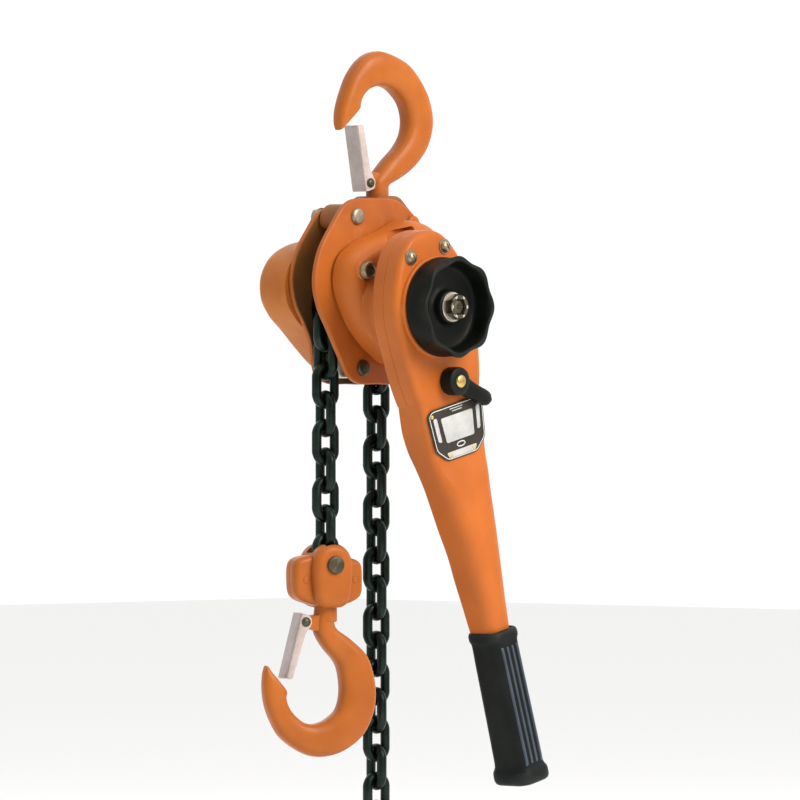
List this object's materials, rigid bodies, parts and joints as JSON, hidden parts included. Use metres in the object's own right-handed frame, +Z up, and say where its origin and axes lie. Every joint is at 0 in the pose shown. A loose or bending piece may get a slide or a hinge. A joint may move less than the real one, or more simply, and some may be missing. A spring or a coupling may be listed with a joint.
{
  "type": "lever chain hoist",
  "caption": "Hand lever hoist with a top hook, geared frame, hand wheel, cranked lever with rubber grip, and a load chain ending in a swivel hook.",
  "frame": {"origin": "the seat of the top hook's bowl, on the shank's axis, where the hoist hangs", "axes": "+Z up along the top hook's shank, +Y along the drive shaft from the hand wheel to the gear case, +X to the slack chain's side"},
  "size_m": [0.1738, 0.1625, 0.6526],
  "materials": {
    "orange_paint": "thick orange enamel on steel castings and pressings, semi-gloss, slightly orange-peeled, rubbed thin on edges",
    "hook_paint": "orange enamel over forged steel, semi-gloss, faint forging texture",
    "zinc_steel": "bright zinc plate, fine brushed grain",
    "dark_steel": "oiled dark steel, machined",
    "friction_lining": "pressed friction lining, matt brown",
    "black_plastic": "moulded black plastic, fine satin texture",
    "black_rubber": "black rubber, satin, with raised ribs",
    "brass": "turned brass screw head",
    "chain_steel": "blackened hardened chain steel with a film of oil"
  },
  "bodies": {
    "top_hook": {"top_hook": "hook_paint", "top_latch_pin": "zinc_steel"},
    "top_hook_latch": {"top_hook_latch": "zinc_steel"},
    "frame": {"top_yoke": "orange_paint", "side_plate_front": "orange_paint", "side_plate_rear": "orange_paint", "gear_case": "orange_paint", "brake_cover": "orange_paint", "chain_guide": "zinc_steel", "brake_pawl_pin": "dark_steel", "chain_on_sheave": "chain_steel", "top_bolt_1": "dark_steel", "top_bolt_2": "dark_steel", "lower_stay_bolt_1": "dark_steel", "lower_stay_bolt_2": "dark_steel"},
    "load_sheave": {"load_sheave": "dark_steel", "load_gear": "dark_steel"},
    "drive_shaft": {"drive_shaft": "dark_steel", "brake_hub": "dark_steel", "friction_disc_inner": "friction_lining", "ratchet_disc": "dark_steel", "friction_disc_outer": "friction_lining", "drive_gear": "dark_steel", "hand_wheel": "black_plastic", "wheel_washer": "zinc_steel", "castle_nut": "zinc_steel"},
    "idler_gear_1": {"idler_gear_1": "dark_steel"},
    "idler_gear_2": {"idler_gear_2": "dark_steel"},
    "brake_pawl": {"brake_pawl": "dark_steel"},
    "lever": {"lever_shell_front": "orange_paint", "lever_shell_back": "orange_paint", "lever_grip": "black_rubber", "nameplate": "zinc_steel", "shell_screw_1": "zinc_steel", "shell_screw_2": "zinc_steel"},
    "change_over": {"change_over_knob": "black_plastic", "knob_screw": "brass", "change_over_pawl": "dark_steel"},
    "bottom_block": {"bottom_block_front": "hook_paint", "bottom_block_back": "hook_paint", "chain_pin": "dark_steel", "block_rivet_1": "hook_paint", "block_rivet_2": "hook_paint"},
    "bottom_hook": {"bottom_hook": "hook_paint", "bottom_latch_pin": "zinc_steel"},
    "bottom_hook_latch": {"bottom_hook_latch": "zinc_steel"},
    "tail_stop_ring": {"tail_stop_ring": "zinc_steel"},
    "load_link_1": {"load_link_1": "chain_steel"},
    "load_link_2": {"load_link_2": "chain_steel"},
    "load_link_3": {"load_link_3": "chain_steel"},
    "load_link_4": {"load_link_4": "chain_steel"},
    "load_link_5": {"load_link_5": "chain_steel"},
    "load_link_6": {"load_link_6": "chain_steel"},
    "load_link_7": {"load_link_7": "chain_steel"},
    "tail_chain_1": {"tail_chain_1": "chain_steel"},
    "tail_chain_2": {"tail_chain_2": "chain_steel"},
    "tail_chain_3": {"tail_chain_3": "chain_steel"},
    "tail_chain_4": {"tail_chain_4": "chain_steel"},
    "tail_chain_5": {"tail_chain_5": "chain_steel"},
    "tail_chain_6": {"tail_chain_6": "chain_steel"}
  },
  "joints": [
    {"name": "top_latch_hinge", "type": "hinge", "parent": "top_hook", "child": "top_hook_latch", "pos_m": [-0.0129, 0.00158, -0.072], "axis": [0.1219, 0.9925, 0], "range_deg": [0, 20], "stiffness_Nm_per_rad": 0.02},
    {"name": "frame_swivel", "type": "hinge", "parent": "top_hook", "child": "frame", "pos_m": [0, 0, -0.081], "axis": [0, 0, 1], "continuous": true},
    {"name": "sheave_turn", "type": "hinge", "parent": "frame", "child": "load_sheave", "pos_m": [-0.028, 0, -0.165], "axis": [0, 1, 0], "continuous": true},
    {"name": "shaft_turn", "type": "hinge", "parent": "frame", "child": "drive_shaft", "pos_m": [-0.028, 0, -0.165], "axis": [0, 1, 0], "continuous": true},
    {"name": "idler_1_turn", "type": "hinge", "parent": "frame", "child": "idler_gear_1", "pos_m": [-0.04497, 0, -0.14803], "axis": [0, 1, 0], "continuous": true},
    {"name": "idler_2_turn", "type": "hinge", "parent": "frame", "child": "idler_gear_2", "pos_m": [-0.01103, 0, -0.18197], "axis": [0, 1, 0], "continuous": true},
    {"name": "brake_pawl_hinge", "type": "hinge", "parent": "frame", "child": "brake_pawl", "pos_m": [-0.052, -0.03, -0.139], "axis": [0, 1, 0], "range_deg": [0, 7]},
    {"name": "lever_turn", "type": "hinge", "parent": "frame", "child": "lever", "pos_m": [-0.028, -0.075, -0.165], "axis": [0, 1, 0], "continuous": true},
    {"name": "change_over_turn", "type": "hinge", "parent": "lever", "child": "change_over", "pos_m": [-0.01474, -0.09, -0.21941], "axis": [0, 1, 0], "range_deg": [-36, 36]},
    {"name": "load_link_1_hinge", "type": "hinge", "parent": "frame", "child": "load_link_1", "pos_m": [-0.055, 0, -0.21555], "axis": [0.247, 0.969, 0], "range_deg": [-3.4, 4]},
    {"name": "load_link_2_hinge", "type": "hinge", "parent": "load_link_1", "child": "load_link_2", "pos_m": [-0.055, 0, -0.23655], "axis": [-0.969, 0.247, 0], "range_deg": [-4, 4]},
    {"name": "load_link_3_hinge", "type": "hinge", "parent": "load_link_2", "child": "load_link_3", "pos_m": [-0.055, 0, -0.25755], "axis": [0.247, 0.969, 0], "range_deg": [-4, 4]},
    {"name": "load_link_4_hinge", "type": "hinge", "parent": "load_link_3", "child": "load_link_4", "pos_m": [-0.055, 0, -0.27855], "axis": [-0.969, 0.247, 0], "range_deg": [-4, 4]},
    {"name": "load_link_5_hinge", "type": "hinge", "parent": "load_link_4", "child": "load_link_5", "pos_m": [-0.055, 0, -0.29955], "axis": [0.247, 0.969, 0], "range_deg": [-4, 4]},
    {"name": "load_link_6_hinge", "type": "hinge", "parent": "load_link_5", "child": "load_link_6", "pos_m": [-0.055, 0, -0.32055], "axis": [-0.969, 0.247, 0], "range_deg": [-4, 4]},
    {"name": "load_link_7_hinge", "type": "hinge", "parent": "load_link_6", "child": "load_link_7", "pos_m": [-0.055, 0, -0.34155], "axis": [0.247, 0.969, 0], "range_deg": [-4, 4]},
    {"name": "block_hinge", "type": "hinge", "parent": "load_link_7", "child": "bottom_block", "pos_m": [-0.055, 0, -0.355], "axis": [0.342, 0.9397, 0], "range_deg": [-4.5, 4.5]},
    {"name": "bottom_hook_swivel", "type": "hinge", "parent": "bottom_block", "child": "bottom_hook", "pos_m": [-0.055, 0, -0.373], "axis": [0, 0, 1], "range_deg": [-140, 180]},
    {"name": "bottom_latch_hinge", "type": "hinge", "parent": "bottom_hook", "child": "bottom_hook_latch", "pos_m": [-0.0719, 0.00752, -0.397], "axis": [-0.4067, -0.9135, 0], "range_deg": [0, 20], "stiffness_Nm_per_rad": 0.02},
    {"name": "tail_chain_1_hinge", "type": "hinge", "parent": "frame", "child": "tail_chain_1", "pos_m": [-0.001, 0, -0.22625], "axis": [0.247, 0.969, 0], "range_deg": [-10, 1]},
    {"name": "tail_chain_2_hinge", "type": "hinge", "parent": "tail_chain_1", "child": "tail_chain_2", "pos_m": [-0.001, 0, -0.28925], "axis": [-0.969, 0.247, 0], "range_deg": [-10, 10]},
    {"name": "tail_chain_3_hinge", "type": "hinge", "parent": "tail_chain_2", "child": "tail_chain_3", "pos_m": [-0.001, 0, -0.35225], "axis": [0.247, 0.969, 0], "range_deg": [-10, 6]},
    {"name": "tail_chain_4_hinge", "type": "hinge", "parent": "tail_chain_3", "child": "tail_chain_4", "pos_m": [-0.001, 0, -0.41525], "axis": [-0.969, 0.247, 0], "range_deg": [-10, 10]},
    {"name": "tail_chain_5_hinge", "type": "hinge", "parent": "tail_chain_4", "child": "tail_chain_5", "pos_m": [-0.001, 0, -0.47825], "axis": [0.247, 0.969, 0], "range_deg": [-10, 10]},
    {"name": "tail_chain_6_hinge", "type": "hinge", "parent": "tail_chain_5", "child": "tail_chain_6", "pos_m": [-0.001, 0, -0.54125], "axis": [-0.969, 0.247, 0], "range_deg": [-10, 10]},
    {"name": "tail_ring_hinge", "type": "hinge", "parent": "tail_chain_6", "child": "tail_stop_ring", "pos_m": [-0.001, 0, -0.60425], "axis": [0.247, 0.969, 0], "range_deg": [-20, 20]}
  ],
  "couplings": [
    {"joint": "shaft_turn", "follows": "sheave_turn", "ratio": 9},
    {"joint": "idler_1_turn", "follows": "sheave_turn", "ratio": -3},
    {"joint": "idler_2_turn", "follows": "sheave_turn", "ratio": -3}
  ]
}
